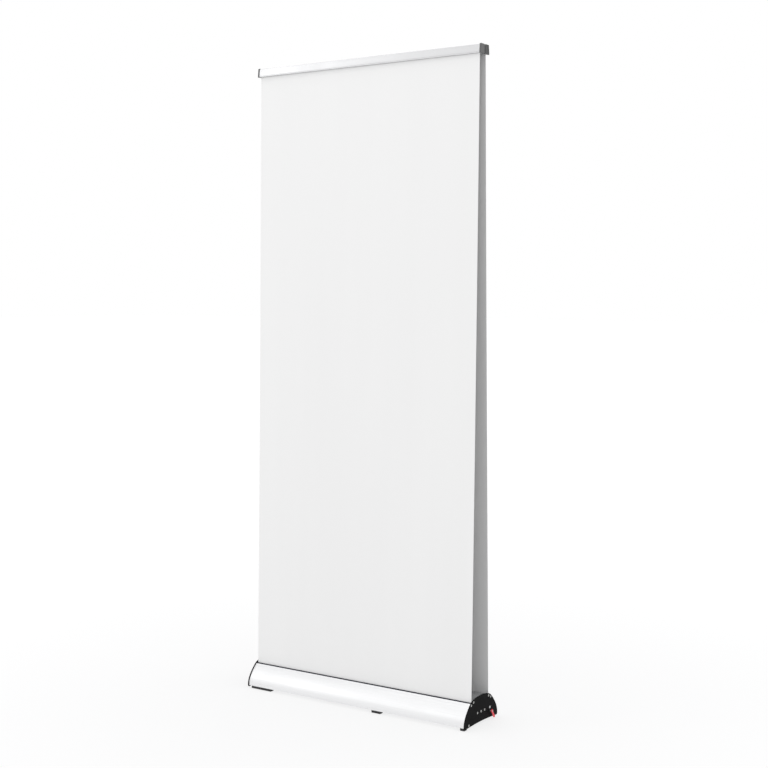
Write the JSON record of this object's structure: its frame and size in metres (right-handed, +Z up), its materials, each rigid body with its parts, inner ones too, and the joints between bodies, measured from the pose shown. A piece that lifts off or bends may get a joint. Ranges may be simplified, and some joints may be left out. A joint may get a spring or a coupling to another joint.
{
  "type": "roll-up banner stand",
  "caption": "Tall double-sided roll-up banner stand: arched floor cassette with sprung rollers, two leaning films, clip rails and a telescopic pole.",
  "frame": {"origin": "centre of the base on the floor, under the middle of the box", "axes": "+X to the right seen from the front, -Y to the front, +Z up"},
  "size_m": [0.8796, 0.2062, 2.1015],
  "materials": {
    "shell_aluminium": "satin anodised",
    "deck_aluminium": "satin anodised",
    "tray_aluminium": "mill finish",
    "plate_black": "matt powder coat",
    "fastener_steel": "zinc plated",
    "foot_rubber": "matt",
    "wiper_rubber": "matt",
    "axle_steel": "turned",
    "spring_steel": "drawn wire",
    "banner_film": "white face, grey back",
    "roller_aluminium": "mill finish",
    "plug_plastic": "moulded",
    "grip_red": "moulded",
    "socket_plastic": "moulded",
    "pole_aluminium": "anodised",
    "collet_plastic": "moulded",
    "collar_plastic": "moulded",
    "rail_aluminium": "satin anodised",
    "cap_front": "moulded",
    "cap_rear": "moulded",
    "gripper_rubber": "soft"
  },
  "bodies": {
    "base": {"front_shell": "shell_aluminium", "rear_shell": "shell_aluminium", "center_beam": "deck_aluminium", "bottom_tray": "tray_aluminium", "tray_rivets": "fastener_steel", "left_end_plate": "plate_black", "right_end_plate": "plate_black", "end_plate_screws": "fastener_steel", "rubber_feet": "foot_rubber", "front_slot_wiper": "wiper_rubber", "rear_slot_wiper": "wiper_rubber", "front_spring_axle": "axle_steel", "rear_spring_axle": "axle_steel", "front_idle_pin": "axle_steel", "rear_idle_pin": "axle_steel", "front_torsion_spring": "spring_steel", "rear_torsion_spring": "spring_steel", "front_banner": "banner_film", "rear_banner": "banner_film", "pole_socket": "socket_plastic", "socket_screws": "fastener_steel", "pole_lower_tube": "pole_aluminium", "pole_foot_plug": "plug_plastic", "lower_collet": "collet_plastic"},
    "lower_collar": {"lower_lock_collar": "collar_plastic"},
    "pole_middle": {"pole_middle_tube": "pole_aluminium", "middle_bush": "plug_plastic", "upper_collet": "collet_plastic"},
    "upper_collar": {"upper_lock_collar": "collar_plastic"},
    "pole_upper": {"pole_upper_tube": "pole_aluminium", "upper_bush": "plug_plastic", "pole_head": "collar_plastic"},
    "front_roller": {"front_roller_tube": "roller_aluminium", "front_spring_plug": "plug_plastic", "front_spring_anchor": "plug_plastic", "front_idle_plug": "plug_plastic", "front_film_roll": "banner_film"},
    "front_pin": {"front_lock_pin": "axle_steel"},
    "front_grip": {"front_pin_grip": "grip_red"},
    "front_rail": {"front_rail_body": "rail_aluminium", "front_rail_cap_left": "cap_front", "front_rail_cap_right": "cap_front"},
    "front_jaw": {"front_rail_jaw": "rail_aluminium", "front_jaw_gripper": "gripper_rubber"},
    "rear_roller": {"rear_roller_tube": "roller_aluminium", "rear_spring_plug": "plug_plastic", "rear_spring_anchor": "plug_plastic", "rear_idle_plug": "plug_plastic", "rear_film_roll": "banner_film"},
    "rear_pin": {"rear_lock_pin": "axle_steel"},
    "rear_grip": {"rear_pin_grip": "grip_red"},
    "rear_rail": {"rear_rail_body": "rail_aluminium", "rear_rail_cap_left": "cap_rear", "rear_rail_cap_right": "cap_rear"},
    "rear_jaw": {"rear_rail_jaw": "rail_aluminium", "rear_jaw_gripper": "gripper_rubber"}
  },
  "joints": [
    {"name": "pole_middle_slide", "type": "slide", "parent": "base", "child": "pole_middle", "axis": [0, 0, 1], "range_m": [-0.6, 0], "deforming": ["front_banner", "rear_banner"]},
    {"name": "pole_upper_slide", "type": "slide", "parent": "pole_middle", "child": "pole_upper", "axis": [0, 0, 1], "range_m": [-0.57, 0]},
    {"name": "lower_collar_twist", "type": "hinge", "parent": "base", "child": "lower_collar", "pos_m": [0, 0, 0.787], "axis": [0, 0, 1], "range_deg": [0, 90]},
    {"name": "upper_collar_twist", "type": "hinge", "parent": "pole_middle", "child": "upper_collar", "pos_m": [0, 0, 1.447], "axis": [0, 0, 1], "range_deg": [0, 90]},
    {"name": "front_roller_spin", "type": "hinge", "parent": "base", "child": "front_roller", "pos_m": [0, -0.055, 0.04], "axis": [-1, 0, 0], "range_deg": [0, 3380]},
    {"name": "front_pin_slide", "type": "slide", "parent": "base", "child": "front_pin", "axis": [-1, 0, 0], "range_m": [-0.005, 0.004]},
    {"name": "front_grip_turn", "type": "hinge", "parent": "front_pin", "child": "front_grip", "pos_m": [-0.438, -0.055, 0.0285], "axis": [-1, 0, 0], "range_deg": [0, 270]},
    {"name": "front_rail_lift", "type": "slide", "parent": "pole_upper", "child": "front_rail", "axis": [0, 0, 1], "range_m": [0, 0.006]},
    {"name": "front_jaw_open", "type": "hinge", "parent": "front_rail", "child": "front_jaw", "pos_m": [0, -0.018, 2.096], "axis": [-1, 0, 0], "range_deg": [0, 50]},
    {"name": "rear_roller_spin", "type": "hinge", "parent": "base", "child": "rear_roller", "pos_m": [0, 0.055, 0.04], "axis": [1, 0, 0], "range_deg": [0, 3380]},
    {"name": "rear_pin_slide", "type": "slide", "parent": "base", "child": "rear_pin", "axis": [1, 0, 0], "range_m": [-0.005, 0.004]},
    {"name": "rear_grip_turn", "type": "hinge", "parent": "rear_pin", "child": "rear_grip", "pos_m": [0.438, 0.055, 0.0285], "axis": [1, 0, 0], "range_deg": [0, 270]},
    {"name": "rear_rail_lift", "type": "slide", "parent": "pole_upper", "child": "rear_rail", "axis": [0, 0, 1], "range_m": [0, 0.006]},
    {"name": "rear_jaw_open", "type": "hinge", "parent": "rear_rail", "child": "rear_jaw", "pos_m": [0, 0.018, 2.096], "axis": [1, 0, 0], "range_deg": [0, 50]}
  ],
  "couplings": [
    {"joint": "pole_upper_slide", "follows": "pole_middle_slide", "ratio": 0.95},
    {"joint": "front_roller_spin", "follows": "pole_middle_slide", "rad_per_m": -98.175},
    {"joint": "rear_roller_spin", "follows": "pole_middle_slide", "rad_per_m": -98.175}
  ]
}
